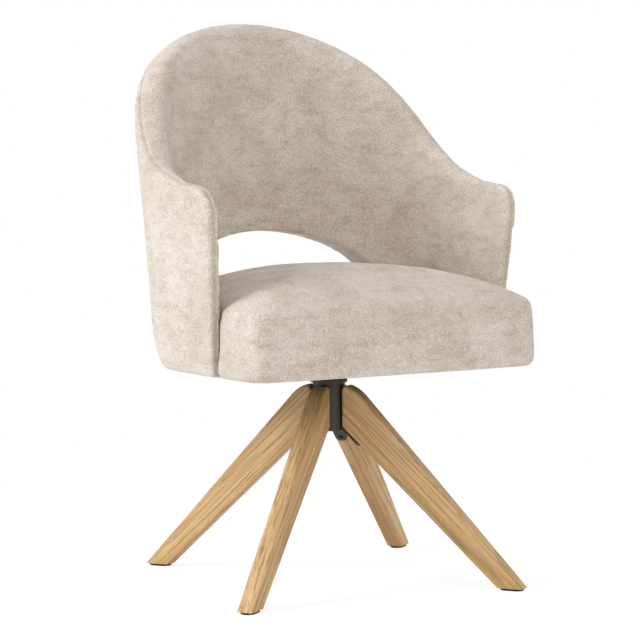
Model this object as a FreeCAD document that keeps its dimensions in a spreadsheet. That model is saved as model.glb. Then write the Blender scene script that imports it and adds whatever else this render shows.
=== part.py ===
import FreeCAD, Part
import math
import os
import Sketcher
from FreeCAD import Placement, Rotation, Vector

# A swivel dining chair: an upholstered tub shell and seat that turn on a four-legged oak base.
# Frame: +Z up, the front of the seat at -Y, the swivel axis on Z, the floor at Z = 0.

SIZES = [
    # Oak legs, drawn in the plane through the swivel axis
    ("leg_width", 26.0),
    ("leg_end_reach", 25.3),
    ("leg_end_low", 237.6),
    ("leg_top", 304.0),
    ("leg_bend_radius", 60.0),
    ("leg_bend_centre_reach", 14.7),
    ("leg_root_round", 8.0),
    ("leg_edge_round", 4.5),
    ("foot_outer_reach", 317.0),
    ("foot_depth", 41.5),
    ("foot_height", 3.5),
    ("leg_first_angle", 34.2),
    # Steel hub
    ("hub_radius", 25.0),
    ("hub_bore", 21.0),
    ("hub_bottom", 232.5),
    ("hub_flange_radius", 28.5),
    ("hub_flange_thickness", 6.0),
    ("hub_chamfer", 2.0),
    ("cap_thickness", 2.0),
    ("cap_plug_depth", 5.0),
    ("cap_wall", 2.0),
    # Leg brackets welded to the hub
    ("tongue_thickness", 4.0),
    ("tongue_width", 18.0),
    ("tongue_length", 40.0),
    ("tongue_corner", 6.0),
    ("fin_thickness", 4.0),
    ("fin_reach", 42.0),
    ("fin_top", 286.0),
    ("slot_clearance", 0.3),
    # Glides
    ("glide_length", 35.0),
    ("glide_width", 21.0),
    ("glide_corner", 7.0),
    # Swivel bearing
    ("spindle_radius", 12.5),
    ("bush_length", 24.0),
    ("bush_flange_thickness", 2.0),
    ("bush_flange_radius", 26.0),
    ("running_clearance", 0.05),
    ("axial_clearance", 0.1),
    ("lower_bush_bottom", 247.0),
    ("thrust_washer_thickness", 1.5),
    ("thrust_washer_radius", 24.0),
    ("collar_radius", 23.0),
    ("collar_thickness", 5.0),
    ("neck_radius", 19.0),
    ("spigot_radius", 15.0),
    ("spindle_bottom", 239.5),
    ("circlip_thickness", 1.5),
    ("circlip_depth", 1.2),
    ("circlip_width", 3.0),
    ("circlip_gap", 7.0),
    ("retaining_washer_thickness", 2.0),
    ("retaining_washer_radius", 19.5),
    ("seat_play", 0.4),
    # Seat plate and its fixings
    ("plate_side", 180.0),
    ("plate_thickness", 4.0),
    ("plate_corner", 22.0),
    ("plate_bolt_spacing", 144.0),
    ("plate_spigot_clearance", 0.1),
    ("bolt_radius", 4.0),
    ("bolt_hole_clearance", 0.4),
    ("bolt_head_radius", 6.6),
    ("bolt_head_height", 4.4),
    ("bolt_tip_depth", 1.0),
    # Seat board, dust cover and cushion
    ("seat_underside", 330.0),
    ("dust_cover_thickness", 1.2),
    ("dust_cover_margin", 9.0),
    ("board_thickness", 18.0),
    ("board_inset", 14.0),
    ("soft_clearance", 0.3),
    ("seat_side_inset", 4.5),
    ("seat_front_narrowing", 7.0),
    ("seat_front", 204.0),
    ("seat_front_bow", 6.0),
    ("seat_front_corner", 24.0),
    ("seat_rear", 214.0),
    ("seat_rear_corner", 110.0),
    ("seat_edge_height", 105.0),
    ("seat_edge_round", 12.0),
    ("seat_crown", 50.0),
    ("seat_crown_fullness", 2.6),
    ("seat_bulge", 2.0),
    # Tub shell, drawn on its outer face at its lower edge
    ("tub_bottom", 332.0),
    ("tub_half_width", 265.5),
    ("tub_back_reach", 222.7),
    ("tub_back_radius", 371.0),
    ("tub_back_turn", 28.7),
    ("tub_toe_in", 1.2),
    ("tub_lean", 0.053),
    ("tub_bow_per_metre", 0.056),
    ("tub_tuck", 14.0),
    ("tub_tuck_height", 65.0),
    ("tub_edge_round", 6.0),
    # Upholstered rim, measured along the rim from the back centre
    ("back_height", 869.8),
    ("rim_crest_radius", 368.0),
    ("rim_fall_angle", 48.0),
    ("rim_straight", 75.0),
    ("rim_hollow_radius", 253.0),
    ("arm_fall", 0.069),
    ("rim_thickness", 48.0),
    ("arm_thickness", 19.0),
    # Arm fronts
    ("arm_front", 92.0),
    ("arm_front_lean", 0.095),
    ("arm_front_corner", 40.0),
    # Rear cut-out
    ("window_half_width", 186.0),
    ("window_sill", 408.0),
    ("window_spring", 438.0),
    ("window_apex", 535.0),
    # Shell layers
    ("outer_padding", 5.0),
    ("core_thickness", 8.0),
    ("core_edge_margin", 12.0),
    ("core_foot_gap", 1.0),
    ("board_front_gap", 1.0),
    ("core_clearance", 0.2),
]

LEG_NAMES = ["front_right", "rear_right", "rear_left", "front_left"]
UP = Vector(0, 0, 1)

doc = FreeCAD.newDocument("swivel_dining_chair")
sheet = doc.addObject("Spreadsheet::Sheet", "sizes")
for row, (alias, value) in enumerate(SIZES, start=1):
    sheet.set("A%d" % row, alias)
    sheet.set("B%d" % row, str(value))
    sheet.setAlias("B%d" % row, alias)
doc.recompute()

ALIASES = {alias for alias, value in SIZES}
parts = []


def size(alias):
    return float(sheet.get(alias))


def cell(text):
    """An expression with every sheet alias written in full."""
    words = []
    word = ""
    for letter in text + " ":
        if letter.isalnum() or letter == "_":
            word += letter
            continue
        words.append("sizes." + word if word in ALIASES else word)
        words.append(letter)
        word = ""
    return "".join(words).strip()


def number(text):
    """The present value of an expression."""
    value = sheet.evalExpression(cell(text))
    return float(getattr(value, "Value", value))


# Sketches and features shared by the turned, cut and pressed pieces
def new_body(label):
    body = doc.addObject("PartDesign::Body", label)
    body.Label = label
    body.AllowCompound = True
    parts.append(body)
    return body


def origin_feature(body, role):
    return next(f for f in body.Origin.OriginFeatures if f.Role == role)


def new_sketch(body, plane):
    sketch = body.newObject("Sketcher::SketchObject", body.Name + "_sketch")
    sketch.AttachmentSupport = [(origin_feature(body, plane), "")]
    sketch.MapMode = "FlatFace"
    return sketch


def bind(sketch, kind, where, text):
    """One dimension of a sketch, tied to the sheet."""
    index = sketch.addConstraint(Sketcher.Constraint(kind, *where, number(text)))
    sketch.setExpression("Constraints[%d]" % index, cell(text))


def place_point(sketch, geometry, end, across, along):
    bind(sketch, "DistanceX", (-1, 1, geometry, end), across)
    bind(sketch, "DistanceY", (-1, 1, geometry, end), along)


def outline(sketch, corners):
    """A closed outline of straight runs; each corner is a pair of expressions."""
    first = sketch.GeometryCount
    count = len(corners)
    spots = [Vector(number(a), number(b), 0) for a, b in corners]
    for i in range(count):
        sketch.addGeometry(Part.LineSegment(spots[i], spots[(i + 1) % count]), False)
    for i in range(count):
        joined = first + (i + 1) % count
        sketch.addConstraint(Sketcher.Constraint("Coincident", first + i, 2, joined, 1))
    for i, (across, along) in enumerate(corners):
        place_point(sketch, first + i, 1, across, along)
    return sketch


def circle(sketch, across, along, radius):
    centre = Vector(number(across), number(along), 0)
    index = sketch.addGeometry(Part.Circle(centre, UP, number(radius)), False)
    bind(sketch, "Radius", (index,), radius)
    place_point(sketch, index, 3, across, along)
    return sketch


def axis_line(sketch, low, high):
    """A construction line to turn an outline about."""
    spots = [Vector(number(a), number(b), 0) for a, b in (low, high)]
    index = sketch.addGeometry(Part.LineSegment(*spots), True)
    place_point(sketch, index, 1, *low)
    place_point(sketch, index, 2, *high)
    return (sketch, ["Axis0"])


def removes(body, made, before):
    if not made.Shape.Volume < before - 1e-6:
        raise RuntimeError(body.Label + ": a cut removed nothing")
    return made


def pad(body, sketch, length, both_sides=False, reverse=False):
    made = body.newObject("PartDesign::Pad", body.Name + "_pad")
    made.Profile = sketch
    made.Midplane = both_sides
    made.Reversed = reverse
    made.setExpression("Length", cell(length))
    doc.recompute()
    return made


def pocket(body, sketch, length, both_sides=False, reverse=False):
    before = body.Shape.Volume
    made = body.newObject("PartDesign::Pocket", body.Name + "_pocket")
    made.Profile = sketch
    made.Midplane = both_sides
    made.Reversed = reverse
    made.setExpression("Length", cell(length))
    doc.recompute()
    return removes(body, made, before)


def revolve(body, sketch, axis):
    made = body.newObject("PartDesign::Revolution", body.Name + "_turned")
    made.Profile = sketch
    made.ReferenceAxis = axis
    made.Angle = 360.0
    doc.recompute()
    return made


def groove(body, sketch, axis):
    before = body.Shape.Volume
    made = body.newObject("PartDesign::Groove", body.Name + "_groove")
    made.Profile = sketch
    made.ReferenceAxis = axis
    made.Angle = 360.0
    doc.recompute()
    return removes(body, made, before)


def turn(label, corners):
    """A profile in the XZ plane turned round the swivel axis."""
    body = new_body(label)
    sketch = outline(new_sketch(body, "XZ_Plane"), corners)
    revolve(body, sketch, (sketch, ["V_Axis"]))
    return body


def soften(body, kind, amount, test):
    """Rounds the edges that pass the test."""
    base = body.Tip
    names = ["Edge%d" % (i + 1) for i, edge in enumerate(base.Shape.Edges) if test(edge)]
    if not names:
        raise RuntimeError(body.Label + ": no edge to round")
    made = body.newObject("PartDesign::" + kind, body.Name + "_" + kind.lower())
    made.Base = (base, names)
    made.setExpression("Radius" if kind == "Fillet" else "Size", cell(amount))
    doc.recompute()
    return made


def ring_of_four(body, *originals):
    made = body.newObject("PartDesign::PolarPattern", body.Name + "_four")
    made.Originals = list(originals)
    made.Axis = (origin_feature(body, "Z_Axis"), [""])
    made.Angle = 360.0
    made.Occurrences = 4
    body.Tip = made
    doc.recompute()
    return made


def near(a, b, tolerance=0.02):
    return abs(a - b) < tolerance


def on_circle(edge, radius, height):
    curve = edge.Curve
    if not isinstance(curve, Part.Circle):
        return False
    return near(curve.Radius, number(radius)) and near(curve.Center.z, number(height))


def turn_to(body, angle_text):
    """Turns a body round the swivel axis by an angle held in the sheet."""
    body.Placement = Placement(Vector(0, 0, 0), Rotation(UP, number(angle_text)))
    body.setExpression("Placement.Rotation.Angle", "(" + cell(angle_text) + ") * 1 deg")


# Heights in the swivel bearing, from the hub flange up to the seat plate
FLANGE_BOTTOM = "(leg_top + 1)"
FLANGE_TOP = "(leg_top + 1 + hub_flange_thickness)"
BUSH_TOP = "(leg_top + 1 + hub_flange_thickness + bush_flange_thickness)"
THRUST_TOP = "(leg_top + 1 + hub_flange_thickness + bush_flange_thickness + thrust_washer_thickness)"
COLLAR_BOTTOM = "(" + THRUST_TOP + " + axial_clearance)"
PLATE_BOTTOM = "(seat_underside - plate_thickness)"
BUSH_BORE = "(spindle_radius + running_clearance)"
WASHER_TOP = "(lower_bush_bottom - seat_play)"
CLIP_TOP = "(lower_bush_bottom - seat_play - retaining_washer_thickness)"
CLIP_BOTTOM = "(lower_bush_bottom - seat_play - retaining_washer_thickness - circlip_thickness)"


def ring_corners(inner, outer, low, high):
    return [(inner, low), (outer, low), (outer, high), (inner, high)]


def make_hub():
    turn("hub_column", [
        ("hub_bore", "hub_bottom"),
        ("hub_radius", "hub_bottom"),
        ("hub_radius", FLANGE_BOTTOM),
        ("hub_flange_radius", FLANGE_BOTTOM),
        ("hub_flange_radius", FLANGE_TOP + " - hub_chamfer"),
        ("hub_flange_radius - hub_chamfer", FLANGE_TOP),
        ("hub_bore", FLANGE_TOP),
    ])
    turn("hub_end_cap", [
        ("0", "hub_bottom - cap_thickness"),
        ("hub_radius - cap_thickness / 2", "hub_bottom - cap_thickness"),
        ("hub_radius", "hub_bottom - cap_thickness / 2"),
        ("hub_radius", "hub_bottom"),
        ("hub_bore - running_clearance", "hub_bottom"),
        ("hub_bore - running_clearance", "hub_bottom + cap_plug_depth"),
        ("hub_bore - cap_wall", "hub_bottom + cap_plug_depth"),
        ("hub_bore - cap_wall", "hub_bottom"),
        ("0", "hub_bottom"),
    ])


def make_bushes():
    turn("upper_bush", [
        (BUSH_BORE, FLANGE_TOP + " - bush_length"),
        ("hub_bore", FLANGE_TOP + " - bush_length"),
        ("hub_bore", FLANGE_TOP),
        ("bush_flange_radius", FLANGE_TOP),
        ("bush_flange_radius", BUSH_TOP),
        (BUSH_BORE, BUSH_TOP),
    ])
    low = "lower_bush_bottom"
    turn("lower_bush", ring_corners(BUSH_BORE, "hub_bore", low, low + " + bush_length"))
    bore = "(spindle_radius + 2 * bush_flange_thickness / 10)"
    turn("thrust_washer", ring_corners(bore, "thrust_washer_radius", BUSH_TOP, THRUST_TOP))


# Legs and their fittings, drawn along +X and turned to their corners
RUN_ACROSS = "(foot_outer_reach - foot_depth - leg_end_reach)"
RUN_DOWN = "(foot_height - leg_end_low)"
RUN_LENGTH = "sqrt(%s^2 + %s^2)" % (RUN_ACROSS, RUN_DOWN)
RUN_X = "(%s / %s)" % (RUN_ACROSS, RUN_LENGTH)
RUN_Z = "(%s / %s)" % (RUN_DOWN, RUN_LENGTH)


def below_leg(run, depth):
    """A point so far down the underside of the leg and so far below it."""
    across = "leg_end_reach + (%s) * %s + (%s) * %s" % (run, RUN_X, depth, RUN_Z)
    along = "leg_end_low + (%s) * %s - (%s) * %s" % (run, RUN_Z, depth, RUN_X)
    return across, along


def leg_sketch(body):
    """The leg from the side: bent top, straight outer edge, flat foot, underside, upright end."""
    sketch = new_sketch(body, "XZ_Plane")
    reach = size("leg_end_reach")
    radius = size("leg_bend_radius")
    centre = Vector(size("leg_bend_centre_reach"), size("leg_top") - radius, 0)
    foot = Vector(size("foot_outer_reach"), size("foot_height"), 0)
    heel = Vector(size("foot_outer_reach") - size("foot_depth"), size("foot_height"), 0)
    to_foot = foot - centre
    start = math.atan2(to_foot.y, to_foot.x) + math.acos(radius / to_foot.Length)
    end = math.acos((reach - centre.x) / radius)
    bend_end = centre + Vector(radius * math.cos(start), radius * math.sin(start), 0)
    root_top = centre + Vector(radius * math.cos(end), radius * math.sin(end), 0)
    root_low = Vector(reach, size("leg_end_low"), 0)
    bend, outer, sole, underside, inner = range(5)
    sketch.addGeometry(Part.ArcOfCircle(Part.Circle(centre, UP, radius), start, end), False)
    for a, b in ((bend_end, foot), (foot, heel), (heel, root_low), (root_low, root_top)):
        sketch.addGeometry(Part.LineSegment(a, b), False)
    for a, b in ((outer, sole), (sole, underside), (underside, inner)):
        sketch.addConstraint(Sketcher.Constraint("Coincident", a, 2, b, 1))
    sketch.addConstraint(Sketcher.Constraint("Coincident", inner, 2, bend, 2))
    sketch.addConstraint(Sketcher.Constraint("Tangent", bend, 1, outer, 1))
    bind(sketch, "Radius", (bend,), "leg_bend_radius")
    place_point(sketch, bend, 3, "leg_bend_centre_reach", "leg_top - leg_bend_radius")
    place_point(sketch, outer, 2, "foot_outer_reach", "foot_height")
    place_point(sketch, sole, 2, "foot_outer_reach - foot_depth", "foot_height")
    place_point(sketch, underside, 2, "leg_end_reach", "leg_end_low")
    bind(sketch, "DistanceX", (-1, 1, inner, 2), "leg_end_reach")
    return sketch


def make_leg(name, angle):
    body = new_body("leg_" + name)
    pad(body, leg_sketch(body), "leg_width", both_sides=True)
    reach = size("leg_end_reach")
    half = size("leg_width") / 2
    sole = size("foot_height")
    middle = size("leg_end_low") + 20

    def root_corner(edge):
        spot = edge.CenterOfMass
        return near(spot.y, 0) and near(spot.x, reach) and spot.z > middle

    def long_edge(edge):
        spot = edge.CenterOfMass
        return near(abs(spot.y), half) and spot.z > sole + 1

    soften(body, "Fillet", "leg_root_round", root_corner)
    soften(body, "Fillet", "leg_edge_round", long_edge)
    slot = outline(new_sketch(body, "XZ_Plane"), ring_corners(
        "leg_end_reach - 5", "fin_reach + slot_clearance", "0.6 * leg_end_low", "fin_top + slot_clearance"
    ))
    pocket(body, slot, "fin_thickness + 2 * slot_clearance", both_sides=True)
    turn_to(body, angle)


def make_bracket(name, angle):
    """A tongue under the leg and a fin in its slot, welded to the hub."""
    body = new_body("leg_bracket_" + name)
    tongue = outline(new_sketch(body, "XZ_Plane"), [
        below_leg("-10", "0"), below_leg("tongue_length", "0"),
        below_leg("tongue_length", "tongue_thickness"), below_leg("-10", "tongue_thickness"),
    ])
    pad(body, tongue, "tongue_width", both_sides=True)
    reach, low = number("leg_end_reach"), number("leg_end_low")
    across, down = number(RUN_X), number(RUN_Z)
    half, tip = size("tongue_width") / 2, size("tongue_length")

    def tip_corner(edge):
        spot = edge.CenterOfMass
        run = (spot.x - reach) * across + (spot.z - low) * down
        return near(abs(spot.y), half) and near(run, tip)

    soften(body, "Fillet", "tongue_corner", tip_corner)
    fin_run = "(fin_reach - leg_end_reach - %s) / %s" % (RUN_Z, RUN_X)
    fin = outline(new_sketch(body, "XZ_Plane"), [
        ("hub_radius - 5", "fin_top"), below_leg("-10", "1"),
        below_leg(fin_run, "1"), ("fin_reach", "fin_top"),
    ])
    pad(body, fin, "fin_thickness", both_sides=True)
    hub = circle(new_sketch(body, "XY_Plane"), "0", "0", "hub_radius")
    pocket(body, hub, "2 * leg_top + 20", both_sides=True)
    turn_to(body, angle)


def make_glide(name, angle):
    """A plate with cut corners under the middle of the foot."""
    body = new_body("glide_" + name)
    middle = "(foot_outer_reach - foot_depth / 2)"
    far, far_in = middle + " + glide_length / 2", middle + " + glide_length / 2 - glide_corner"
    back, back_in = middle + " - glide_length / 2", middle + " - glide_length / 2 + glide_corner"
    side, side_in = "(glide_width / 2)", "(glide_width / 2 - glide_corner)"
    base = outline(new_sketch(body, "XY_Plane"), [
        (back_in, "-" + side), (far_in, "-" + side), (far, "-" + side_in), (far, side_in),
        (far_in, side), (back_in, side), (back, side_in), (back, "-" + side_in),
    ])
    pad(body, base, "foot_height")
    turn_to(body, angle)


# Spindle, its retainers, the seat plate and the fixings up into the seat
def make_spindle():
    turn("spindle", [
        ("0", "spindle_bottom"),
        ("spindle_radius", "spindle_bottom"),
        ("spindle_radius", CLIP_BOTTOM + " - running_clearance"),
        ("spindle_radius - circlip_depth", CLIP_BOTTOM + " - running_clearance"),
        ("spindle_radius - circlip_depth", CLIP_TOP),
        ("spindle_radius", CLIP_TOP),
        ("spindle_radius", COLLAR_BOTTOM),
        ("collar_radius", COLLAR_BOTTOM),
        ("collar_radius", COLLAR_BOTTOM + " + collar_thickness"),
        ("neck_radius", COLLAR_BOTTOM + " + collar_thickness"),
        ("neck_radius", PLATE_BOTTOM),
        ("spigot_radius", PLATE_BOTTOM),
        ("spigot_radius", "seat_underside"),
        ("0", "seat_underside"),
    ])
    bore = "spindle_radius + 2 * running_clearance"
    turn("retaining_washer", ring_corners(bore, "retaining_washer_radius", CLIP_TOP, WASHER_TOP))
    inner = "spindle_radius - circlip_depth + running_clearance"
    outer = "(spindle_radius + circlip_width)"
    clip = turn("circlip", ring_corners(inner, outer, CLIP_BOTTOM, CLIP_TOP))
    half = "circlip_gap / 2"
    gap = outline(new_sketch(clip, "XY_Plane"), [
        ("-" + half, "0"), (half, "0"), (half, "2 * " + outer), ("-" + half, "2 * " + outer),
    ])
    pocket(clip, gap, "leg_top", reverse=True)


BOLT_REACH = "(plate_bolt_spacing / sqrt(2))"
HEAD_TOP = "(seat_underside - plate_thickness)"


def make_seat_plate():
    body = new_body("seat_plate")
    half = "plate_side / 2"
    square = outline(new_sketch(body, "XY_Plane"), [
        ("-" + half, "-" + half), (half, "-" + half), (half, half), ("-" + half, half),
    ])
    pad(body, square, "plate_thickness")
    soften(body, "Fillet", "plate_corner", lambda e: near(e.Length, size("plate_thickness")))
    spigot = circle(new_sketch(body, "XY_Plane"), "0", "0", "spigot_radius + plate_spigot_clearance")
    pocket(body, spigot, "plate_thickness", reverse=True)
    across = "plate_bolt_spacing / 2"
    hole = circle(new_sketch(body, "XY_Plane"), across, across, "bolt_radius + bolt_hole_clearance")
    one = pocket(body, hole, "plate_thickness", reverse=True)
    ring_of_four(body, one)
    body.Placement = Placement(Vector(0, 0, number(PLATE_BOTTOM)), Rotation())
    body.setExpression("Placement.Base.z", cell(PLATE_BOTTOM))


def turned_four(label, corners):
    """Four turned fixings on the bolt circle of the seat plate."""
    body = new_body(label)
    sketch = outline(new_sketch(body, "XZ_Plane"), [(BOLT_REACH + " + " + a, b) for a, b in corners])
    axis = axis_line(sketch, (BOLT_REACH, "200"), (BOLT_REACH, "400"))
    turned = revolve(body, sketch, axis)
    ring_of_four(body, turned)
    turn_to(body, "45")
    return body


def make_seat_fixings():
    head_low = HEAD_TOP + " - bolt_head_height"
    board_top = "(seat_underside + dust_cover_thickness + board_thickness)"
    turned_four("seat_bolts", [
        ("0", head_low), ("bolt_head_radius", head_low), ("bolt_head_radius", HEAD_TOP),
        ("bolt_radius", HEAD_TOP), ("bolt_radius", board_top + " - bolt_tip_depth"),
        ("0", board_top + " - bolt_tip_depth"),
    ])


# The tub: upright sections spaced along its plan, from the back centre to the arm fronts
TOE = math.radians(size("tub_toe_in"))
BACK_TURN = math.radians(size("tub_back_turn"))
BACK_STEPS = 5
SHOULDER_STEPS = 8
ARM_STEPS = 3
RIM_LEVEL = 600.0


def shoulder_radius():
    turned = math.sin(BACK_TURN)
    return (size("tub_half_width") - size("tub_back_radius") * turned) / (1 - turned)


def plan_point(heading, arm_run=0.0):
    """A point on the right half of the tub's lower outer edge, and its outward direction."""
    back = size("tub_back_radius")
    shoulder = shoulder_radius()
    turned = min(heading, BACK_TURN)
    x = back * math.sin(turned)
    y = size("tub_back_reach") - back * (1 - math.cos(turned))
    if heading > BACK_TURN:
        x += shoulder * (math.sin(heading) - math.sin(BACK_TURN))
        y -= shoulder * (math.cos(BACK_TURN) - math.cos(heading))
    x -= arm_run * math.sin(TOE)
    y -= arm_run * math.cos(TOE)
    return Vector(x, y, 0), Vector(math.sin(heading), math.cos(heading), 0)


def lean_out(height):
    rise = max(height - size("tub_bottom"), 0.0)
    return size("tub_lean") * rise + size("tub_bow_per_metre") / 1000 * rise * rise


def tuck_in(height, y):
    """How far the lower edge draws in, fading out towards the arm fronts."""
    top = size("tub_bottom") + size("tub_tuck_height")
    share = min(max((top - height) / size("tub_tuck_height"), 0.0), 1.3)
    fade = min(max((y + size("arm_front")) / 220.0, 0.0), 1.0)
    return size("tub_tuck") * share * share * fade


def rim_height(run):
    """Height of the rim at an unrolled distance from the back centre."""
    crest, hollow = size("rim_crest_radius"), size("rim_hollow_radius")
    fall, slope = math.radians(size("rim_fall_angle")), math.atan(size("arm_fall"))
    run_1 = crest * math.sin(fall)
    high_1 = size("back_height") - crest * (1 - math.cos(fall))
    run_2 = run_1 + size("rim_straight") * math.cos(fall)
    high_2 = high_1 - size("rim_straight") * math.sin(fall)
    run_3 = run_2 + hollow * (math.sin(fall) - math.sin(slope))
    high_3 = high_2 - hollow * (math.cos(slope) - math.cos(fall))
    if run < run_1:
        return size("back_height") - crest + math.sqrt(crest * crest - run * run)
    if run < run_2:
        return high_1 - (run - run_1) * math.tan(fall)
    if run < run_3:
        centre = run_2 + hollow * math.sin(fall)
        return high_2 + hollow * math.cos(fall) - math.sqrt(hollow ** 2 - (run - centre) ** 2)
    return high_3 - (run - run_3) * size("arm_fall")


def rim_depth(y):
    """Thickness of the padded rim, full at the back and slim at the arm fronts."""
    share = min(max((y + size("arm_front")) / 200.0, 0.0), 1.0)
    share = share * share * (3 - 2 * share)
    return size("arm_thickness") + (size("rim_thickness") - size("arm_thickness")) * share


def stations():
    """Base point, outward direction, rim height and rim depth of every section, left to right."""
    headings = [BACK_TURN * i / BACK_STEPS for i in range(BACK_STEPS + 1)]
    turn_left = math.pi / 2 + TOE - BACK_TURN
    headings += [BACK_TURN + turn_left * (i + 1) / SHOULDER_STEPS for i in range(SHOULDER_STEPS)]
    end = plan_point(headings[-1])[0]
    arm = (end.y + size("arm_front") + 60) / math.cos(TOE)
    places = [(heading, 0.0) for heading in headings]
    places += [(headings[-1], arm * (i + 1) / ARM_STEPS) for i in range(ARM_STEPS)]
    spread = lean_out(RIM_LEVEL)
    right = []
    for heading, arm_run in places:
        spot, outward = plan_point(heading, arm_run)
        run = (size("tub_back_radius") + spread) * min(heading, BACK_TURN)
        run += (shoulder_radius() + spread) * max(heading - BACK_TURN, 0.0) + arm_run
        right.append((spot, outward, rim_height(run), rim_depth(spot.y)))
    left = [(Vector(-p.x, p.y, 0), Vector(-n.x, n.y, 0), z, t) for p, n, z, t in right[1:]]
    return left[::-1] + right


def face_point(station, depth, height):
    """A point a given depth inside the tub's outer face."""
    spot, outward, rim, thick = station
    inset = depth + tuck_in(height, spot.y)
    return spot + outward * (lean_out(height) - inset) + UP * height


def layer_point(station, depth, height):
    """A point of a hidden face, which runs straight from the bottom to mid-tuck and on to the wall."""
    if height >= WALL:
        return face_point(station, depth, height)
    low, high = (BOTTOM, TUCK_MIDDLE) if height < TUCK_MIDDLE else (TUCK_MIDDLE, WALL)
    start, end = face_point(station, depth, low), face_point(station, depth, high)
    return start + (end - start) * ((height - low) / (high - low))


def layer_points(station, depth, low, top):
    """Up a hidden face in four straight runs."""
    heights = [low, TUCK_MIDDLE, WALL, (WALL + top) / 2]
    return [layer_point(station, depth, height) for height in heights]


def straight_runs(points):
    return [Part.makeLine(a, b) for a, b in zip(points, points[1:])]


def curve_through(a, b, c):
    """An arc through three points, or a line where they fall in a row."""
    bow = (b - a).cross(c - a).Length / max((c - a).Length, 1e-6)
    if bow < 0.01:
        return Part.makeLine(a, c)
    return Part.Arc(a, b, c).toShape()


def face_run(station, low, high):
    """Up the outer face between two heights."""
    return curve_through(
        face_point(station, 0, low), face_point(station, 0, (low + high) / 2), face_point(station, 0, high)
    )


def crest_point(station, depth):
    """A point on the round top of the rim."""
    spot, outward, rim, thick = station
    half = thick / 2
    rise = math.sqrt(max(half * half - (half - depth) ** 2, 0.0))
    level = rim - half
    return face_point(station, depth, level) + UP * rise


def crest_run(station, depth_a, depth_b):
    """Over the rim from one depth to the other."""
    half = station[3] / 2
    lift_a = math.acos((half - depth_a) / half)
    lift_b = math.acos((half - depth_b) / half)
    depth_m = half - half * math.cos((lift_a + lift_b) / 2)
    return curve_through(
        crest_point(station, depth_a), crest_point(station, depth_m), crest_point(station, depth_b)
    )


BOTTOM = size("tub_bottom")
TUCK_MIDDLE = BOTTOM + size("tub_tuck_height") / 2
WALL = BOTTOM + size("tub_tuck_height")
SPLIT = size("outer_padding") + size("core_thickness") / 2
CORE_IN = size("outer_padding") + size("core_thickness")
BOARD_TOP = size("seat_underside") + size("dust_cover_thickness") + size("board_thickness")


def section(edges):
    return Part.Wire(Part.__sortEdges__(edges))


def outer_pad_section(station):
    bend = size("tub_edge_round")
    level = station[2] - station[3] / 2
    inner = layer_points(station, SPLIT, BOTTOM, level) + [crest_point(station, SPLIT)]
    base = face_point(station, bend, BOTTOM)
    return section([
        Part.makeLine(base, face_point(station, 0, BOTTOM + bend)),
        face_run(station, BOTTOM + bend, WALL),
        face_run(station, WALL, level),
        crest_run(station, 0, SPLIT),
        Part.makeLine(inner[0], base),
    ] + straight_runs(inner))


def inner_pad_section(station):
    thick = station[3]
    level = station[2] - thick / 2
    outer = layer_points(station, SPLIT, BOTTOM, level) + [crest_point(station, SPLIT)]
    inner = layer_points(station, thick, BOTTOM, level) + [face_point(station, thick, level)]
    return section(
        straight_runs(outer) + [crest_run(station, SPLIT, thick), Part.makeLine(inner[0], outer[0])]
        + straight_runs(inner)
    )


def core_section(station, grow):
    """The bent plywood panel, grown by a clearance for the pocket it sits in."""
    low = BOTTOM + size("core_foot_gap") - grow
    top = station[2] - size("arm_thickness") / 2 - size("core_edge_margin") + grow
    faces = []
    for depth in (size("outer_padding") - grow, CORE_IN + grow):
        faces.append(layer_points(station, depth, low, top) + [face_point(station, depth, top)])
    around = faces[0] + faces[1][::-1]
    return Part.makePolygon(around + around[:1])


def loft(wires):
    return Part.makeLoft(wires, True, True)


def front_profile(margin):
    """Side view kept behind the arm fronts: a leaning edge and a round corner under the rim."""
    lean = size("arm_front_lean")
    bottom = size("tub_bottom")
    end = plan_point(math.pi / 2 + TOE)[0]
    spread = lean_out(RIM_LEVEL)
    run = (size("tub_back_radius") + spread) * BACK_TURN
    run += (shoulder_radius() + spread) * (math.pi / 2 + TOE - BACK_TURN)
    fall = size("arm_fall") / math.cos(TOE)
    far = end.y + size("arm_front") + 20
    level = rim_height(run + far / math.cos(TOE)) - margin
    far_y = end.y - far
    front = -size("arm_front") + margin
    up = Vector(0, -lean, 1).normalize()
    back = Vector(0, 1, fall).normalize()
    # Corner where the leaning edge would meet the rim line
    height = (level + fall * (front + lean * bottom - far_y)) / (1 + fall * lean)
    corner = Vector(0, front - lean * (height - bottom), height)
    opening = math.acos(-up.dot(back))
    radius = size("arm_front_corner") - margin
    reach = radius / math.tan(opening / 2)
    edge_end = corner - up * reach
    rim_end = corner + back * reach
    inward = (back - up).normalize()
    middle = corner + inward * (radius / math.sin(opening / 2) - radius)
    base = Vector(0, front + lean * 60, bottom - 60)
    behind = size("tub_back_reach") + 150
    top = size("back_height") + 100
    corners = [rim_end, Vector(0, rim_end.y, top), Vector(0, behind, top), Vector(0, behind, base.z), base]
    edges = [Part.makeLine(base, edge_end), Part.Arc(edge_end, middle, rim_end).toShape()]
    edges += [Part.makeLine(a, b) for a, b in zip(corners, corners[1:])]
    return Part.Face(Part.Wire(edges))


def behind_front(margin=0.0):
    face = front_profile(margin)
    face.translate(Vector(-500, 0, 0))
    return face.extrude(Vector(1000, 0, 0))


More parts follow.
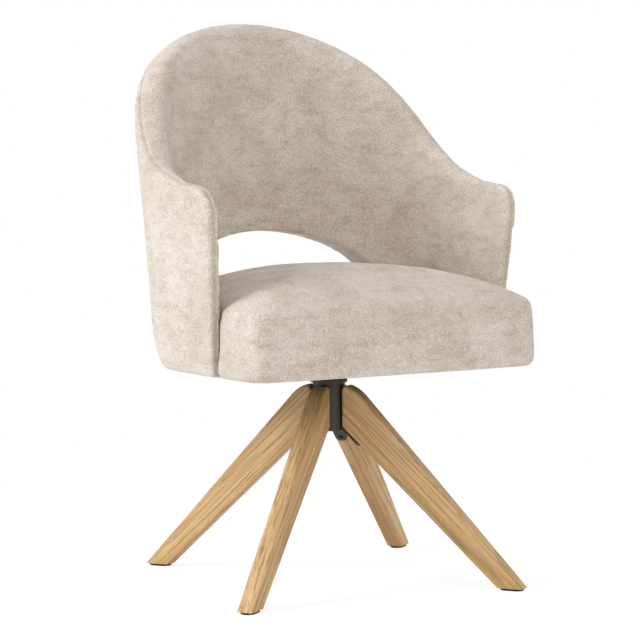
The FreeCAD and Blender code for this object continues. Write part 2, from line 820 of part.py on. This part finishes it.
def window(margin=0.0):
    """The arched opening through the back, cut straight along Y."""
    half = size("window_half_width") + margin
    sill, spring = size("window_sill") - margin, size("window_spring")
    rise = size("window_apex") - spring + margin
    y = size("tub_back_reach") - 130
    corner = spring - sill
    arch = Part.ArcOfEllipse(Part.Ellipse(Vector(0, 0, 0), half, rise), 0, math.pi).toShape()
    arch.rotate(Vector(0, 0, 0), Vector(1, 0, 0), 90)
    arch.translate(Vector(0, y, spring))
    turn = corner * (1 - math.sqrt(0.5))

    def spot(side, inset, height):
        return Vector(side * (half - inset), y, height)

    edges = [arch]
    for side in (1, -1):
        corner_ends = spot(side, 0, spring), spot(side, turn, sill + turn), spot(side, corner, sill)
        edges.append(Part.Arc(*corner_ends).toShape())
    edges.append(Part.makeLine(spot(1, corner, sill), spot(-1, corner, sill)))
    edges = Part.__sortEdges__(edges)
    return Part.Face(Part.Wire(edges)).extrude(Vector(0, 330, 0))


def inside_of_tub(depth_of, heights):
    """The room inside a face of the tub, level by level, open a little past the arms."""
    wires = []
    for height in heights:
        spots = [layer_point(station, depth_of(station), height) for station in stations()]
        wires.append(Part.makePolygon(spots + spots[:1]))
    return loft(wires)


def front_room(gap, low, high):
    """The room in front of the leaning arm fronts."""
    lean = size("arm_front_lean")
    bottom = size("tub_bottom")
    front = -size("arm_front") - gap
    near_low = Vector(-400, front - lean * (low - bottom), low)
    near_high = Vector(-400, front - lean * (high - bottom), high)
    far_high, far_low = Vector(-400, -500, high), Vector(-400, -500, low)
    wire = Part.makePolygon([near_low, near_high, far_high, far_low, near_low])
    return Part.Face(wire).extrude(Vector(800, 0, 0))


def seat_room(gap, low, high):
    room = inside_of_tub(lambda station: station[3] + gap, [low, TUCK_MIDDLE, WALL, high])
    return room.fuse(front_room(gap, low, high))


def finished(label, shape):
    part = doc.addObject("Part::Feature", label)
    part.Label = label
    part.Shape = shape
    parts.append(part)
    return part


def seat_outline(height, inset, share=1.0):
    """The cushion's plan at a height: bowed front, round front corners, cut rear corners."""
    half_width = size("tub_half_width") - size("seat_side_inset")
    half_rear = (half_width - inset) * share
    half_front = (half_width - size("seat_front_narrowing") - inset) * share
    front = -(size("seat_front") - inset) * share
    rear = (size("seat_rear") - inset) * share
    bow = size("seat_front_bow") * share
    near_round = size("seat_front_corner") * share
    far_round = size("seat_rear_corner") * share
    lean = (half_rear - half_front) / (rear - front)

    def spot(x, y):
        return Vector(x, y, height)

    def side_x(y):
        return half_front + lean * (y - front)

    turn_near = math.sqrt(0.5)
    front_side = spot(side_x(front + near_round), front + near_round)
    front_end = spot(half_front - near_round, front)
    front_middle = spot(half_front - near_round * (1 - turn_near), front + near_round * (1 - turn_near))
    rear_side = spot(side_x(rear - far_round), rear - far_round)
    rear_end = spot(half_rear - far_round, rear)

    def mirrored(point):
        return Vector(-point.x, point.y, point.z)

    return Part.Wire([
        Part.Arc(mirrored(front_end), spot(0, front - bow), front_end).toShape(),
        Part.Arc(front_end, front_middle, front_side).toShape(),
        Part.makeLine(front_side, rear_side),
        Part.makeLine(rear_side, rear_end),
        Part.makeLine(rear_end, mirrored(rear_end)),
        Part.makeLine(mirrored(rear_end), mirrored(rear_side)),
        Part.makeLine(mirrored(rear_side), mirrored(front_side)),
        Part.Arc(mirrored(front_side), mirrored(front_middle), mirrored(front_end)).toShape(),
    ])


def cushion_block():
    low = size("seat_underside")
    ridge = low + size("seat_edge_height")
    bend = size("seat_edge_round")
    bulge = size("seat_bulge")
    middle = (low + ridge) / 2
    wires = [
        seat_outline(low, bend / 3),
        seat_outline(low + bend / 2, 0),
        seat_outline(middle, -bulge),
        seat_outline(ridge - bend, 0),
        seat_outline(ridge - bend / 3, bend / 4),
        seat_outline(ridge, bend),
    ]
    crown_steps = 5
    for i in range(1, crown_steps + 1):
        share = 1 - 0.8 * i / crown_steps
        rise = 1 - share ** size("seat_crown_fullness")
        wires.append(seat_outline(ridge + size("seat_crown") * rise, bend, share))
    return loft(wires)


def slab(low, high, inset, depth, front_margin):
    """A flat T-shaped layer: out to the shell panel behind the arms, drawn in at the front ears."""
    wide = inside_of_tub(lambda station: depth, [low, high])
    behind = Part.makeBox(1200, 1200, high - low + 2, Vector(-600, front_margin - size("arm_front"), low - 1))
    ahead = Part.makeBox(1200, 600, high - low + 2, Vector(-600, -600, low - 1))
    narrow = Part.Face(seat_outline(low, inset)).extrude(UP * (high - low))
    return wide.common(behind).fuse(narrow.common(ahead)).removeSplitter()


def bolt_places(radius, low, high):
    half = size("plate_bolt_spacing") / 2
    spots = [Vector(x, y, low) for x in (-half, half) for y in (-half, half)]
    return [Part.makeCylinder(radius, high - low, spot) for spot in spots]


def cut_all(shape, tools):
    for tool in tools:
        shape = shape.cut(tool)
    return shape


def make_seat_and_shell():
    under = size("seat_underside")
    cover_top = under + size("dust_cover_thickness")
    gap = size("soft_clearance")
    core_gap = size("core_clearance")
    edge = size("core_edge_margin")
    front = edge + size("board_front_gap")
    board_depth = CORE_IN + core_gap
    bolt_room = bolt_places(size("bolt_radius") + size("bolt_hole_clearance"), under - gap, BOARD_TOP)
    board = slab(cover_top, BOARD_TOP, size("board_inset"), board_depth, front)
    margin = size("dust_cover_margin")
    dust_cover = slab(
        under, cover_top, size("board_inset") + margin, board_depth + margin, edge + margin
    )
    board_room = slab(
        under - 2, BOARD_TOP + gap, size("board_inset") - gap, board_depth - gap, front - gap
    )
    places = stations()
    keep = behind_front()
    opening = window()
    core = loft([core_section(station, 0.0) for station in places])
    core = core.common(behind_front(edge)).cut(window(edge))
    pocket_room = loft([core_section(station, core_gap) for station in places])
    pocket_room = pocket_room.common(behind_front(edge - core_gap)).cut(window(edge - core_gap))
    outer = loft([outer_pad_section(station) for station in places])
    inner = loft([inner_pad_section(station) for station in places])
    top = under + size("seat_edge_height") + size("seat_crown") + 20
    room = seat_room(gap + 0.2, under - 5, top)
    finished("dust_cover", cut_all(dust_cover, bolt_room))
    finished("seat_board", cut_all(board, bolt_room))
    finished("seat_cushion", cushion_block().common(room).cut(board_room))
    finished("shell_core", core)
    finished("shell_outer_pad", outer.common(keep).cut(opening).cut(pocket_room))
    finished("shell_inner_pad", cut_all(inner.common(keep).cut(opening), [pocket_room, board_room]))


make_hub()
make_bushes()
for turn_index, leg_name in enumerate(LEG_NAMES):
    leg_angle = "leg_first_angle - 90 + %d" % (90 * turn_index)
    make_leg(leg_name, leg_angle)
    make_bracket(leg_name, leg_angle)
    make_glide(leg_name, leg_angle)
make_spindle()
make_seat_plate()
make_seat_fixings()
make_seat_and_shell()
doc.recompute()

for thing in doc.Objects:
    if "Invalid" in thing.State or "Error" in thing.State:
        raise RuntimeError(thing.Label + " did not build")
os.makedirs("parts", exist_ok=True)
for part in parts:
    if part.Shape.isNull() or not part.Shape.isValid():
        raise RuntimeError(part.Label + " has no sound shape")
    part.Shape.exportStep(os.path.join("parts", part.Label + ".step"))
print("pieces:", len(parts))
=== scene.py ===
import math

import bmesh
import bpy
import numpy as np
from mathutils import Matrix, Vector
from mathutils.bvhtree import BVHTree


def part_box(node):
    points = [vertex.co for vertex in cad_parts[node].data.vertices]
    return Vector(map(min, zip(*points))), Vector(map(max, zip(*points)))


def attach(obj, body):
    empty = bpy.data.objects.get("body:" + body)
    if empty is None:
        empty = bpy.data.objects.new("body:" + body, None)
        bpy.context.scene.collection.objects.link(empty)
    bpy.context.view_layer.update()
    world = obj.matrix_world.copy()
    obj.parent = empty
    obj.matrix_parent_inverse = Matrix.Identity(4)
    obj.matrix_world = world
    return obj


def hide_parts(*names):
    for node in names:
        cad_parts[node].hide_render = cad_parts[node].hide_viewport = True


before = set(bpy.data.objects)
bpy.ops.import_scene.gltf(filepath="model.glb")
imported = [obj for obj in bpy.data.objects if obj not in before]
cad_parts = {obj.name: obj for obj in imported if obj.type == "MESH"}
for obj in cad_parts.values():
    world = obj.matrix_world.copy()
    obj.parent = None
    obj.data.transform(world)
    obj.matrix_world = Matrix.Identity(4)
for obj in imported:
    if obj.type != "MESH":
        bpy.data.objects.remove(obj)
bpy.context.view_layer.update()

LEGS = ["front_right", "rear_right", "rear_left", "front_left"]

# How far a leg runs outward and drops, and the slope that makes
LEG_RUN = 0.2502
LEG_DROP = 0.2341
LEG_FALL = math.atan2(LEG_DROP, LEG_RUN)

# The photograph's view: a long lens 3.3 m from the swivel axis, 33 degrees round from the front
CAMERA_DISTANCE = 3.3
CAMERA_HEIGHT = 0.6187
CAMERA_TURN = math.radians(33)
CAMERA_PAN = -0.004
CAMERA_TILT = 0.066
CAMERA_ROLL = -0.007
CAMERA_SIGHT = 60
LENS = 120.5


class Number:
    """A shader socket that does sums."""

    def __init__(self, wiring, socket):
        self.wiring = wiring
        self.socket = socket

    def maths(self, operation, *values):
        return self.wiring.add("ShaderNodeMath", {"operation": operation}, list(values))

    def __add__(self, other):
        return self.maths("ADD", self, other)

    def __radd__(self, other):
        return self.maths("ADD", other, self)

    def __sub__(self, other):
        return self.maths("SUBTRACT", self, other)

    def __rsub__(self, other):
        return self.maths("SUBTRACT", other, self)

    def __mul__(self, other):
        return self.maths("MULTIPLY", self, other)

    def __rmul__(self, other):
        return self.maths("MULTIPLY", other, self)

    def __pow__(self, other):
        return self.maths("POWER", self, other)

    def sine(self):
        return self.maths("SINE", self)


class Wiring:
    """A node tree that ends in one output node."""

    def __init__(self, tree, output_kind):
        self.tree = tree
        self.tree.nodes.clear()
        self.output = self.tree.nodes.new(output_kind)

    def add(self, kind, settings, values, output=0):
        """Any other node: its settings, then the values or links of its sockets."""
        node = self.tree.nodes.new(kind)
        for name, value in settings.items():
            setattr(node, name, value)
        pairs = values.items() if isinstance(values, dict) else enumerate(values)
        for key, value in pairs:
            self.put(node.inputs[key], value)
        return Number(self, node.outputs[output])

    def put(self, socket, value):
        """Links a socket to a Number, or sets it to a value."""
        if isinstance(value, Number):
            self.tree.links.new(value.socket, socket)
        else:
            socket.default_value = value

    def show(self, shader):
        self.put(self.output.inputs["Surface"], shader)

    def seen(self):
        """One where the camera looks, nil for every other ray."""
        return self.add("ShaderNodeLightPath", {}, [], "Is Camera Ray")

    def blend(self, share, first, second):
        return self.add("ShaderNodeMixShader", {}, [share, first, second])


class Finish(Wiring):
    """A material and the few ways this chair's finishes are wired."""

    def __init__(self, name, roughness, metallic=0.0, **constants):
        self.material = bpy.data.materials.new(name)
        self.material.use_nodes = True
        super().__init__(self.material.node_tree, "ShaderNodeOutputMaterial")
        values = {socket.replace("_", " "): value for socket, value in constants.items()}
        values.update({"Roughness": roughness, "Metallic": metallic})
        self.shader = self.add("ShaderNodeBsdfPrincipled", {}, values)
        self.surface = self.shader.socket.node
        self.show(self.shader)

    def place(self):
        """Object coordinates, in metres."""
        return self.add("ShaderNodeTexCoord", {}, [], "Object")

    def axes(self, place):
        parted = self.add("ShaderNodeSeparateXYZ", {}, [place])
        return [Number(self, output) for output in parted.socket.node.outputs]

    def rotated(self, place, axis, angle):
        values = {"Vector": place, "Angle": angle}
        return self.add("ShaderNodeVectorRotate", {"rotation_type": axis}, values)

    def cloud(self, place, scale, detail, roughness):
        values = {"Vector": place, "Scale": scale, "Detail": detail, "Roughness": roughness}
        return self.add("ShaderNodeTexNoise", {}, values, "Fac")

    def grain(self, place, scales, detail, roughness):
        """Cloud with its own scale along each axis."""
        stretched = self.add("ShaderNodeVectorMath", {"operation": "MULTIPLY"}, [place, scales])
        return self.cloud(stretched, 1.0, detail, roughness)

    def between(self, share, low, high):
        """share mapped from a range onto nil to one, held inside it."""
        return self.add("ShaderNodeMapRange", {"clamp": True}, [share, low, high, 0.0, 1.0])

    def mix(self, share, first, second):
        values = {"Factor": share, 6: first, 7: second}
        return self.add("ShaderNodeMix", {"data_type": "RGBA"}, values, 2)

    def colour(self, value):
        self.put(self.surface.inputs["Base Color"], value)

    def roughness(self, value):
        self.put(self.surface.inputs["Roughness"], value)

    def bump(self, height, distance, strength):
        values = {"Strength": strength, "Distance": distance, "Height": height}
        self.put(self.surface.inputs["Normal"], self.add("ShaderNodeBump", {}, values))


def shade(red, green, blue):
    """A paint-card colour, 0 to 255, as the linear value a shader takes."""
    linear = [((c / 255 + 0.055) / 1.055) ** 2.4 for c in (red, green, blue)]
    return (*linear, 1.0)


def dimmed(tone, share):
    return (*(c * share for c in tone[:3]), 1.0)


WHITE = (1, 1, 1, 1)
VELVET_LIGHT = shade(232, 219, 206)
VELVET_DARK = shade(212, 196, 180)
# Deep pile tone: the brushed patches' own colour, and painted shade in the hollows and along seams
VELVET_DEEP_AND_SHADE = shade(160, 139, 120)
# Painted highlight on the tuft tips
VELVET_TIP_HIGHLIGHT = shade(250, 242, 232)


def make_velvet():
    """Short chenille pile brushed into cloudy patches, with painted highlights on the tuft tips and
    painted shade in the hollows between tufts and along seams.
    """
    finish = Finish("velvet", 0.92, Sheen_Weight=0.3, Sheen_Roughness=0.45, Specular_IOR_Level=0.15)
    place = finish.place()
    nap = finish.cloud(place, scale=13.0, detail=6.0, roughness=0.65)
    brushed = finish.grain(place, (34.0, 34.0, 80.0), detail=5.0, roughness=0.65)
    tuft = finish.cloud(place, scale=430.0, detail=2.0, roughness=0.7)
    fibre = finish.grain(place, (260.0, 260.0, 520.0), detail=2.0, roughness=0.6)
    # Share along the seam between the pads, read to paint shade there
    seam_shade = finish.add("ShaderNodeAttribute", {"attribute_name": "seam_shade"}, [], "Fac")
    patches = finish.between(brushed, 0.46, 0.72) * 0.45
    # Painted highlight: the tuft tops, where the bump is highest, are lightened
    tip_highlights = finish.between(tuft, 0.5, 0.68) * 0.5
    # Painted shade: the hollows between tufts, where the bump is lowest, are darkened
    hollow_shade = finish.between(0.5 - tuft, 0.0, 0.15) * 0.4
    tone = finish.mix(finish.between(nap, 0.36, 0.64), VELVET_DARK, VELVET_LIGHT)
    tone = finish.mix(patches, tone, VELVET_DEEP_AND_SHADE)
    tone = finish.mix(tip_highlights, tone, VELVET_TIP_HIGHLIGHT)
    tone = finish.mix(hollow_shade, tone, VELVET_DEEP_AND_SHADE)
    # Painted shade along the seam between the pads
    tone = finish.mix(seam_shade * 0.35, tone, VELVET_DEEP_AND_SHADE)
    finish.colour(tone)
    finish.bump(tuft * 1.4 + fibre * 0.8, distance=0.0032, strength=0.8)
    return finish.material


# Metres of board between legs that stand a radian apart, so that no two legs share their grain
BOARD_STEP = 0.37


def make_oak(name, angle):
    """Oiled oak with its grain run straight down a leg turned to an angle."""
    finish = Finish(name, 0.5, Specular_IOR_Level=0.35)
    outward = finish.rotated(finish.place(), "Z_AXIS", -angle)
    along = finish.rotated(outward, "Y_AXIS", -LEG_FALL)
    step = (0.0, angle * BOARD_STEP, 0.0)
    plank = finish.add("ShaderNodeVectorMath", {"operation": "ADD"}, [along, step])
    board = finish.grain(plank, (2.2, 34.0, 34.0), detail=2.0, roughness=0.5)
    rings = finish.grain(plank, (4.0, 300.0, 300.0), detail=4.0, roughness=0.6)
    pores = finish.grain(plank, (14.0, 640.0, 640.0), detail=3.0, roughness=0.65)
    late = finish.between(rings, 0.47, 0.6) * 0.6
    dark = finish.between(pores, 0.54, 0.66)
    tone = finish.mix(finish.between(board, 0.35, 0.65), shade(196, 157, 106), shade(216, 180, 130))
    tone = finish.mix(late, tone, shade(150, 108, 64))
    tone = finish.mix(dark * 0.55, tone, shade(122, 82, 44))
    finish.colour(tone)
    finish.roughness(0.46 + dark * 0.25)
    finish.bump(1.0 - dark * 0.8 - rings * 0.3, distance=0.0004, strength=0.5)
    return finish.material


def make_painted_steel(name, tone, roughness, orange_peel):
    """Paint over steel, with an orange peel of a given depth."""
    finish = Finish(name, roughness, metallic=0.35, Specular_IOR_Level=0.5)
    place = finish.place()
    speck = finish.cloud(place, scale=900.0, detail=2.0, roughness=0.5)
    wash = finish.cloud(place, scale=18.0, detail=3.0, roughness=0.5)
    finish.colour(finish.mix(wash, dimmed(tone, 0.85), tone))
    finish.roughness(roughness - 0.05 + wash * 0.1)
    finish.bump(speck, distance=orange_peel, strength=0.4)
    return finish.material


def make_bright_steel():
    """Turned steel, with fine rings round its upright axis."""
    finish = Finish("bright_steel", 0.32, metallic=1.0)
    turning = finish.grain(finish.place(), (30.0, 30.0, 2400.0), detail=2.0, roughness=0.5)
    finish.colour(finish.mix(turning, shade(168, 168, 170), shade(196, 196, 198)))
    finish.roughness(0.26 + turning * 0.14)
    finish.bump(turning, distance=0.00008, strength=0.5)
    return finish.material


def make_plastic(name, tone, roughness):
    """Moulded plastic with a fine grain."""
    finish = Finish(name, roughness)
    grit = finish.cloud(finish.place(), scale=1400.0, detail=2.0, roughness=0.5)
    finish.colour(finish.mix(grit, dimmed(tone, 0.9), tone))
    finish.roughness(roughness - 0.05 + grit * 0.1)
    finish.bump(grit, distance=0.0001, strength=0.5)
    return finish.material


# Height of one light and one dark layer of the plywood together
PLY_PITCH = 0.003


def make_plywood():
    """Pale veneer with thin layers over its height."""
    finish = Finish("plywood", 0.7)
    place = finish.place()
    veneer = finish.grain(place, (12.0, 140.0, 60.0), detail=4.0, roughness=0.6)
    height = finish.axes(place)[2]
    layers = (height * (2 * math.pi / PLY_PITCH)).sine()
    tone = finish.mix(finish.between(veneer, 0.3, 0.7), shade(190, 158, 112), shade(214, 186, 142))
    tone = finish.mix(finish.between(layers, 0.2, 0.9) * 0.3, tone, shade(150, 116, 76))
    finish.colour(tone)
    finish.bump(veneer, distance=0.0003, strength=0.5)
    return finish.material


def make_lining():
    """Black felted cloth under the seat."""
    finish = Finish("lining_cloth", 0.95)
    fibre = finish.cloud(finish.place(), scale=700.0, detail=3.0, roughness=0.7)
    finish.colour(finish.mix(fibre, shade(24, 24, 25), shade(48, 47, 47)))
    finish.bump(fibre, distance=0.0004, strength=0.7)
    return finish.material


def clad(piece, material):
    """Gives a piece one finish."""
    piece.data.materials.clear()
    piece.data.materials.append(material)


def smooth(mesh):
    for face in mesh.polygons:
        face.use_smooth = True


def copy_of(name, nodes):
    """One piece joined from copies of solids."""
    parts = [bpy.data.objects.new(name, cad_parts[node].data.copy()) for node in nodes]
    for part in parts:
        bpy.context.collection.objects.link(part)
    bpy.ops.object.select_all(action="DESELECT")
    for part in parts:
        part.select_set(True)
    bpy.context.view_layer.objects.active = parts[0]
    bpy.ops.object.join()
    return parts[0]


def apply_modifiers(piece):
    bpy.context.view_layer.update()
    graph = bpy.context.evaluated_depsgraph_get()
    mesh = bpy.data.meshes.new_from_object(piece.evaluated_get(graph))
    piece.modifiers.clear()
    piece.data = mesh


def remesh(piece, voxel):
    step = piece.modifiers.new("remesh", "REMESH")
    step.mode = "VOXEL"
    step.voxel_size = voxel
    step.use_smooth_shade = True
    apply_modifiers(piece)


EASE_SHARE = 0.5


def ease(piece, rounds):
    """Rounds the edges off by evening out the mesh."""
    step = piece.modifiers.new("ease", "SMOOTH")
    step.factor = EASE_SHARE
    step.iterations = rounds
    apply_modifiers(piece)


def refine(piece):
    step = piece.modifiers.new("refine", "SUBSURF")
    step.levels = 1
    step.render_levels = 1
    apply_modifiers(piece)


def rows_of(items, name):
    """A vector of every item of a mesh, as rows of an array."""
    rows = np.zeros(len(items) * 3)
    items.foreach_get(name, rows)
    return rows.reshape(-1, 3)


def set_points(mesh, spots):
    mesh.vertices.foreach_set("co", spots.ravel())
    mesh.update()


def seam_distances(mesh, nodes):
    """Distance from each vertex to the farther of two solids: nil along the line where they meet."""
    trees = []
    for node in nodes:
        shape = bmesh.new()
        shape.from_mesh(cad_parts[node].data)
        trees.append(BVHTree.FromBMesh(shape))
        shape.free()
    gaps = [max(tree.find_nearest(vertex.co)[3] for tree in trees) for vertex in mesh.vertices]
    return np.array(gaps)


def mark_seam(mesh, share):
    # The velvet paints shade along the seam from this share
    layer = mesh.attributes.new("seam_shade", "FLOAT", "POINT")
    layer.data.foreach_set("value", share)


# A seam's width and depth, then the swell beside it in shares of these
SEAM_WIDTH = 0.0018
SEAM_DEPTH = 0.0012
SWELL_AWAY = 2.6
SWELL_WIDTH = 1.2
SWELL_HEIGHT = 0.5


def sew(piece, nodes):
    """Pulls the cover in along the line where two pads meet and lets it swell on both sides."""
    mesh = piece.data
    gaps = seam_distances(mesh, nodes)
    share = np.exp(-(gaps / SEAM_WIDTH) ** 2)
    swell = np.exp(-((gaps - SWELL_AWAY * SEAM_WIDTH) / (SWELL_WIDTH * SEAM_WIDTH)) ** 2)
    pull = SEAM_DEPTH * share - SWELL_HEIGHT * SEAM_DEPTH * swell
    inward = rows_of(mesh.vertex_normals, "vector") * pull[:, None]
    set_points(mesh, rows_of(mesh.vertices, "co") - inward)
    # The share marks the seam for the velvet's painted shade
    mark_seam(mesh, share)


# The cushion's cloth: its weight, the air under it, how far it may swell and over what height it starts
CLOTH_FRAMES = 20
CLOTH_QUALITY = 4
CLOTH_MASS = 0.3
CLOTH_PRESSURE = 4.0
PUFF_LIMIT = 0.004
PUFF_START = 0.03
TINY_LENGTH = 1e-9


def puff(piece, held):
    """Swells the cover as air under cloth would, and holds it below a height, where it wraps the board."""
    start = rows_of(piece.data.vertices, "co")
    cloth = piece.modifiers.new("cloth", "CLOTH")
    cloth.settings.quality = CLOTH_QUALITY
    cloth.settings.mass = CLOTH_MASS
    cloth.settings.use_pressure = True
    cloth.settings.uniform_pressure_force = CLOTH_PRESSURE
    cloth.settings.effector_weights.gravity = 0.0
    cloth.point_cache.frame_start = 1
    cloth.point_cache.frame_end = CLOTH_FRAMES
    for tick in range(1, CLOTH_FRAMES + 1):
        bpy.context.scene.frame_set(tick)
    apply_modifiers(piece)
    bpy.context.scene.frame_set(1)
    moved = rows_of(piece.data.vertices, "co") - start
    length = np.linalg.norm(moved, axis=1, keepdims=True)
    limited = np.minimum(1.0, PUFF_LIMIT / np.maximum(length, TINY_LENGTH))
    free = np.clip((start[:, 2:] - held) / PUFF_START, 0.0, 1.0)
    set_points(piece.data, start + moved * limited * free)


# Mesh size and rounds of easing for each cover
TUB_VOXEL = 0.004
TUB_EASE = 7
SEAT_VOXEL = 0.006
SEAT_EASE = 8
PUFF_EASE = 2

velvet = make_velvet()

# The upholstery starts from copies of the padded solids
tub_cover = copy_of("tub_cover", ["shell_outer_pad", "shell_inner_pad", "shell_core"])
remesh(tub_cover, TUB_VOXEL)
ease(tub_cover, TUB_EASE)
refine(tub_cover)
sew(tub_cover, ["shell_outer_pad", "shell_inner_pad"])
clad(tub_cover, velvet)
smooth(tub_cover.data)
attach(tub_cover, "seat")
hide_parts("shell_outer_pad", "shell_inner_pad")

seat_cover = copy_of("seat_cover", ["seat_cushion", "seat_board"])
remesh(seat_cover, SEAT_VOXEL)
ease(seat_cover, SEAT_EASE)
puff(seat_cover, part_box("seat_board")[1].z)
ease(seat_cover, PUFF_EASE)
refine(seat_cover)
mark_seam(seat_cover.data, np.zeros(len(seat_cover.data.vertices)))
clad(seat_cover, velvet)
smooth(seat_cover.data)
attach(seat_cover, "seat")
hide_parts("seat_cushion")


def leg_angle(leg):
    """A leg's bearing round the swivel axis."""
    spot = sum(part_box("leg_" + leg), Vector()) / 2
    return math.atan2(spot.y, spot.x)


# Finishes of the pieces carried over from the frame
bronze = make_painted_steel("bronze_paint", shade(64, 57, 46), 0.42, 0.00012)
black_plate = make_painted_steel("black_plate", shade(34, 34, 35), 0.5, 0.0002)
steel = make_bright_steel()
glide_plastic = make_plastic("glide_plastic", shade(26, 26, 27), 0.6)
bearing_plastic = make_plastic("bearing_plastic", shade(228, 226, 218), 0.45)
plywood = make_plywood()
lining = make_lining()
FINISHES = {
    bronze: ["hub_column", "hub_end_cap"] + ["leg_bracket_" + leg for leg in LEGS],
    black_plate: ["seat_plate"],
    steel: ["spindle", "retaining_washer", "circlip", "seat_bolts"],
    glide_plastic: ["glide_" + leg for leg in LEGS],
    bearing_plastic: ["upper_bush", "lower_bush", "thrust_washer"],
    plywood: ["seat_board", "shell_core"],
    lining: ["dust_cover"],
}
for material, nodes in FINISHES.items():
    for node in nodes:
        clad(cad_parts[node], material)
for leg in LEGS:
    clad(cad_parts["leg_" + leg], make_oak("oak_" + leg, leg_angle(leg)))

TURNING_STEPS = 32
SAME_SPOT = 1e-6


def turned(name, profile):
    """A round piece from pairs of radius and height, about its own Z axis."""
    shape = bmesh.new()
    verts = [shape.verts.new((radius, 0, height)) for radius, height in profile]
    edges = [shape.edges.new(pair) for pair in zip(verts, verts[1:])]
    bmesh.ops.spin(
        shape, geom=verts + edges, axis=(0, 0, 1), cent=(0, 0, 0), steps=TURNING_STEPS, angle=2 * math.pi
    )
    bmesh.ops.remove_doubles(shape, verts=shape.verts, dist=SAME_SPOT)
    bmesh.ops.recalc_face_normals(shape, faces=shape.faces)
    mesh = bpy.data.meshes.new(name)
    shape.to_mesh(mesh)
    shape.free()
    smooth(mesh)
    piece = bpy.data.objects.new(name, mesh)
    bpy.context.collection.objects.link(piece)
    return piece


# A domed screw through each bracket tongue into its leg: radius and height, from the dome to the tip
SCREW_PROFILE = [
    (0.0, 0.0024), (0.0015, 0.0023), (0.0030, 0.0019), (0.0041, 0.0011), (0.0046, 0.0),
    (0.0023, -0.0002), (0.0023, -0.003), (0.0, -0.003),
]

# How far out from the swivel axis and how high above the floor each screw sits
SCREW_REACH = 0.0459
SCREW_HEIGHT = 0.2128
for leg in LEGS:
    angle = leg_angle(leg)
    screw = turned("leg_screw_" + leg, SCREW_PROFILE)
    clad(screw, black_plate)
    facing = Matrix.Rotation(angle, 4, "Z") @ Matrix.Rotation(math.pi + LEG_FALL, 4, "Y")
    spot = Matrix.Rotation(angle, 3, "Z") @ Vector((SCREW_REACH, 0, SCREW_HEIGHT))
    screw.matrix_world = Matrix.Translation(spot) @ facing
    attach(screw, "base")

# The floor's half width, its gap under the feet, and where its shadow starts and ends its fade to white
FLOOR_HALF = 12.0
FLOOR_GAP = 0.0002
SHADOW_REACH = 0.55
SHADOW_END = 2.2 * SHADOW_REACH

# Share and strength of the white laid over the shadow, then the light of the room and of the backdrop
FLOOR_SHARE = 0.72
FLOOR_GLOW = 1.12
ROOM_LIGHT = 0.6
BACKDROP_LIGHT = 1.0
LAMP_AIM = (0, 0, 0.5)


def lighten(finish):
    """Lifts the floor to the white of the backdrop for the camera, all the way past the shadow."""
    glow = finish.add("ShaderNodeEmission", {}, {"Strength": FLOOR_GLOW})
    white = finish.add("ShaderNodeEmission", {}, {"Strength": BACKDROP_LIGHT})
    seen = finish.seen()
    x, y = finish.axes(finish.place())[:2]
    away = finish.between((x * x + y * y) ** 0.5, SHADOW_REACH, SHADOW_END)
    near = finish.blend(seen * FLOOR_SHARE, finish.shader, glow)
    finish.show(finish.blend(seen * away, near, white))


def make_floor():
    """A white floor just under the feet, which keeps the chair's shadow."""
    corners = [(x * FLOOR_HALF, y * FLOOR_HALF, 0) for x, y in ((-1, -1), (1, -1), (1, 1), (-1, 1))]
    mesh = bpy.data.meshes.new("studio_floor")
    mesh.from_pydata(corners, [], [(0, 1, 2, 3)])
    floor = bpy.data.objects.new("studio_floor", mesh)
    floor.location.z = -FLOOR_GAP
    bpy.context.collection.objects.link(floor)
    finish = Finish("studio_floor", 1.0, Specular_IOR_Level=0.0, Base_Color=WHITE)
    lighten(finish)
    clad(floor, finish.material)


def make_world():
    """Even light from all round, and a white backdrop for the camera alone."""
    world = bpy.data.worlds.new("studio")
    world.use_nodes = True
    wiring = Wiring(world.node_tree, "ShaderNodeOutputWorld")
    room = wiring.add("ShaderNodeBackground", {}, {"Color": WHITE, "Strength": ROOM_LIGHT})
    backdrop = wiring.add("ShaderNodeBackground", {}, {"Color": WHITE, "Strength": BACKDROP_LIGHT})
    wiring.show(wiring.blend(wiring.seen(), room, backdrop))
    bpy.context.scene.world = world


def seen_from_camera(right, forward, up):
    """A place given in the camera's bearings: metres to the right, away and up."""
    return Matrix.Rotation(-CAMERA_TURN, 3, "Z") @ Vector((right, forward, up))


def add_lamp(name, place, power, size, tint=(1, 1, 1)):
    data = bpy.data.lights.new(name, "AREA")
    data.energy = power
    data.color = tint
    data.size = size
    lamp = bpy.data.objects.new(name, data)
    lamp.location = place
    lamp.rotation_euler = (Vector(LAMP_AIM) - Vector(place)).to_track_quat("-Z", "Y").to_euler()
    bpy.context.collection.objects.link(lamp)


def add_camera():
    data = bpy.data.cameras.new("view")
    data.lens = LENS
    data.clip_end = CAMERA_SIGHT
    camera = bpy.data.objects.new("view", data)
    turns = [
        ("Z", -CAMERA_TURN),
        ("Z", -CAMERA_PAN),
        ("X", -CAMERA_TILT),
        ("Y", -CAMERA_ROLL),
        ("X", math.pi / 2),
    ]
    pose = Matrix.Identity(4)
    for axis, turn in turns:
        pose = pose @ Matrix.Rotation(turn, 4, axis)
    spot = seen_from_camera(0, -CAMERA_DISTANCE, CAMERA_HEIGHT)
    camera.matrix_world = Matrix.Translation(spot) @ pose
    bpy.context.collection.objects.link(camera)
    bpy.context.scene.camera = camera


make_floor()
make_world()
add_lamp("key", seen_from_camera(-3.0, -0.9, 2.1), power=92, size=1.6, tint=(0.93, 0.97, 1))
add_lamp("fill", seen_from_camera(2.2, -2.6, 1.6), power=31, size=2.0)
add_lamp("top", seen_from_camera(0, 0.3, 3.2), power=13, size=2.2)
add_camera()
bpy.context.scene.view_settings.view_transform = "Standard"
